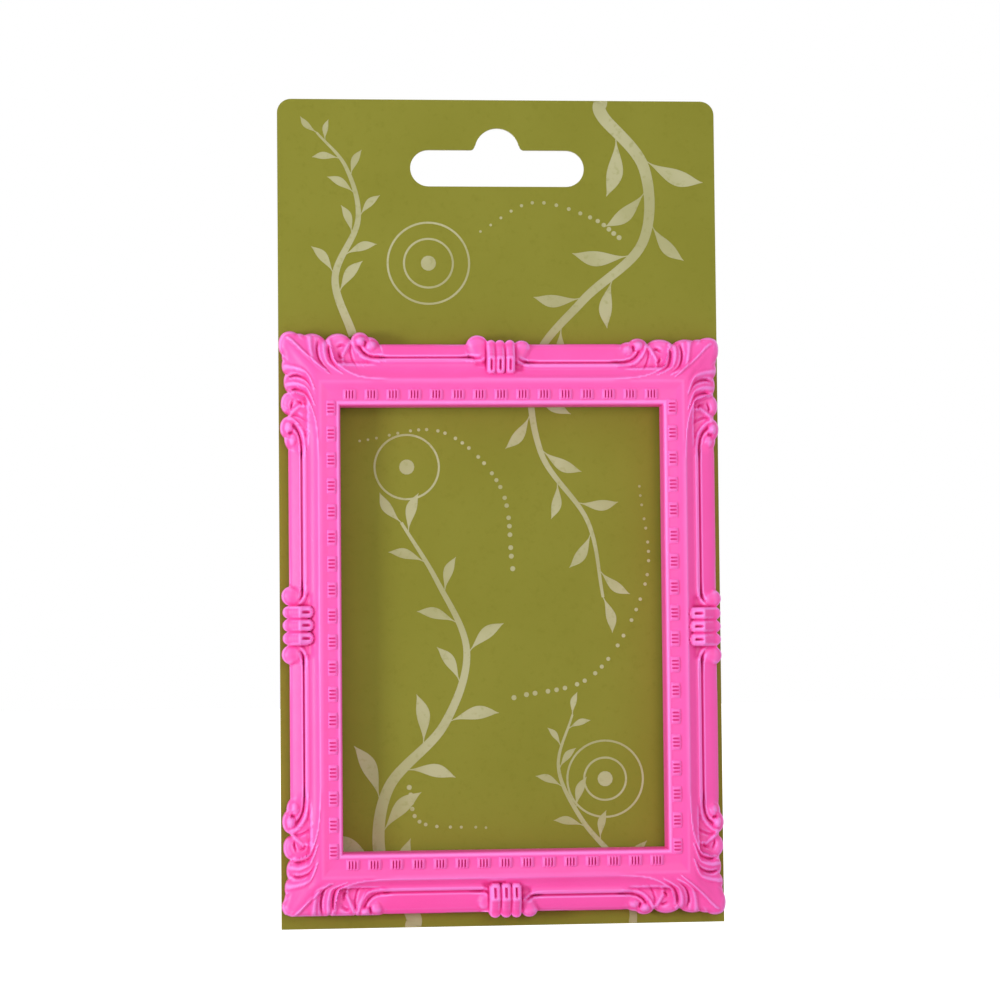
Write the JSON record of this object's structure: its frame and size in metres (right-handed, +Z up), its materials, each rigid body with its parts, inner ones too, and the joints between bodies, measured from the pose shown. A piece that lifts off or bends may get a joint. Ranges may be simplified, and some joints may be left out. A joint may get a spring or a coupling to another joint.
{
  "type": "magnetic photo frame",
  "caption": "Small baroque-style photo frame with magnet strips in its back, held by glue dots on a hang card that also shows through its window.",
  "frame": {"origin": "on the back face of the hang card, at the centre of the frame's window", "axes": "+X to the right seen from the front, +Z up towards the hang slot, +Y out of the card's back, so the front looks along -Y"},
  "size_m": [0.0754, 0.0073, 0.1414],
  "materials": {
    "pink_plastic": "satin moulded plastic",
    "magnet_rubber": "flexible magnet strip, matt",
    "adhesive_tape": "thin double-sided film",
    "glue": "soft removable glue",
    "printed_card": "satin print on solid board"
  },
  "bodies": {
    "card": {"hang_card": "printed_card", "glue_dot_upper_left": "glue", "glue_dot_upper_right": "glue", "glue_dot_lower_left": "glue", "glue_dot_lower_right": "glue"},
    "frame": {"frame_moulding": "pink_plastic", "magnet_strip_top": "magnet_rubber", "magnet_strip_bottom": "magnet_rubber", "magnet_strip_left": "magnet_rubber", "magnet_strip_right": "magnet_rubber", "strip_tape_top": "adhesive_tape", "strip_tape_bottom": "adhesive_tape", "strip_tape_left": "adhesive_tape", "strip_tape_right": "adhesive_tape"}
  },
  "joints": [
    {"name": "frame_lift", "type": "slide", "parent": "card", "child": "frame", "axis": [0, -1, 0], "range_m": [0, 0.03]}
  ]
}
